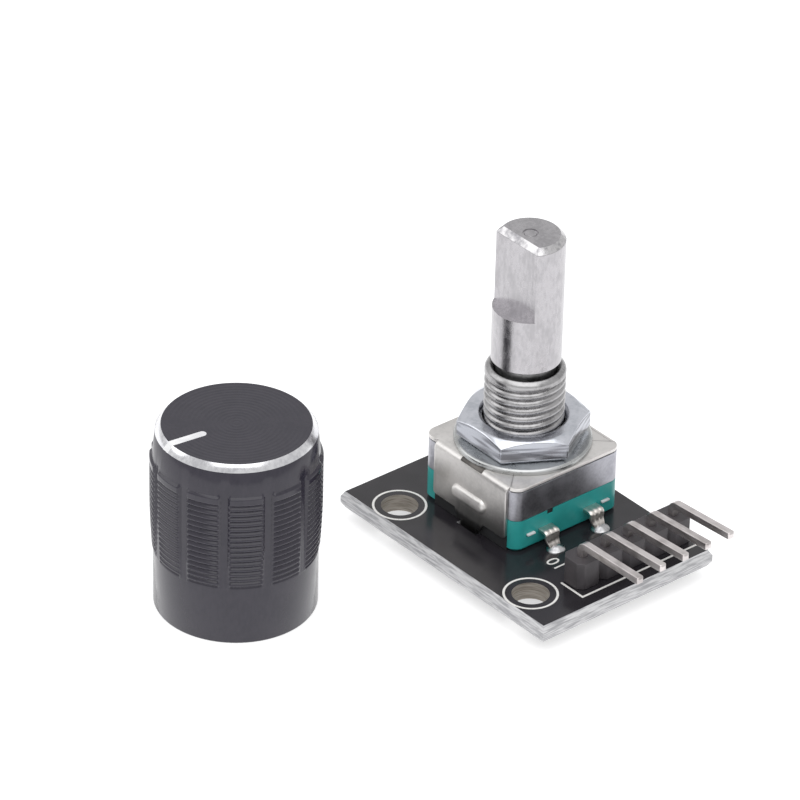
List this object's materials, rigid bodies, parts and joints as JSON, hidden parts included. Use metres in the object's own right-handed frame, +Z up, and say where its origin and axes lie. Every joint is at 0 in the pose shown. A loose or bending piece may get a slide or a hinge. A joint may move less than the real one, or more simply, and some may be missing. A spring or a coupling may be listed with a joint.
{
  "type": "rotary encoder module",
  "caption": "Rotary encoder with push switch on a small board with a bent pin header, and its loose aluminium knob standing beside it.",
  "frame": {"origin": "midway between the two mounting holes, on the underside of the board", "axes": "+Z up along the shaft, +Y from the header towards the back of the board, +X along the header row"},
  "size_m": [0.0405, 0.0335, 0.0292],
  "materials": {
    "solder_mask": "gloss",
    "header_plastic": "satin",
    "solder": "gloss",
    "green_plastic": "satin",
    "lead_metal": "satin",
    "spring_steel": "satin",
    "cover_nickel": "satin",
    "die_cast": "satin",
    "zinc_plate": "gloss",
    "insert_plastic": "satin",
    "knob_anodised": "satin",
    "rotor_plastic": "satin",
    "shaft_metal": "brushed",
    "pin_metal": "satin",
    "resistor_body": "gloss"
  },
  "bodies": {
    "module": {"circuit_board": "solder_mask", "header_housing": "header_plastic", "header_solder": "solder", "encoder_solder": "solder", "contact_base": "green_plastic", "contact_tracks": "lead_metal", "detent_spring": "spring_steel", "encoder_cover": "cover_nickel", "encoder_housing": "die_cast", "hex_nut": "zinc_plate", "washer": "zinc_plate", "resistor_1": "resistor_body", "resistor_2": "resistor_body", "resistor_3": "resistor_body", "switch_terminal_1": "lead_metal", "switch_terminal_2": "lead_metal", "encoder_terminal_1": "lead_metal", "encoder_terminal_2": "lead_metal", "encoder_terminal_3": "lead_metal", "header_pin_1": "pin_metal", "header_pin_2": "pin_metal", "header_pin_3": "pin_metal", "header_pin_4": "pin_metal", "header_pin_5": "pin_metal", "switch_dome": "spring_steel"},
    "rotor": {"rotor": "rotor_plastic", "contact_wiper": "lead_metal"},
    "shaft": {"shaft": "shaft_metal", "retaining_ring": "spring_steel"},
    "plunger": {"switch_plunger": "rotor_plastic"},
    "knob": {"knob_shell": "knob_anodised", "knob_insert": "insert_plastic"}
  },
  "joints": [
    {"name": "rotor_turn", "type": "hinge", "parent": "module", "child": "rotor", "pos_m": [0.00855, 0.0027, 0.0054], "axis": [0, 0, 1], "continuous": true, "deforming": ["detent_spring"]},
    {"name": "shaft_push", "type": "slide", "parent": "rotor", "child": "shaft", "axis": [0, 0, -1], "range_m": [0, 0.0005], "stiffness_N_per_m": 2000, "springref_m": -0.001},
    {"name": "plunger_push", "type": "slide", "parent": "module", "child": "plunger", "axis": [0, 0, -1], "range_m": [0, 0.0005], "deforming": ["switch_dome"]},
    {"name": "knob_lift", "type": "slide", "parent": "module", "child": "knob", "axis": [0, 0, 1], "range_m": [0, 0.035]}
  ],
  "couplings": [
    {"joint": "plunger_push", "follows": "shaft_push", "ratio": 1}
  ]
}
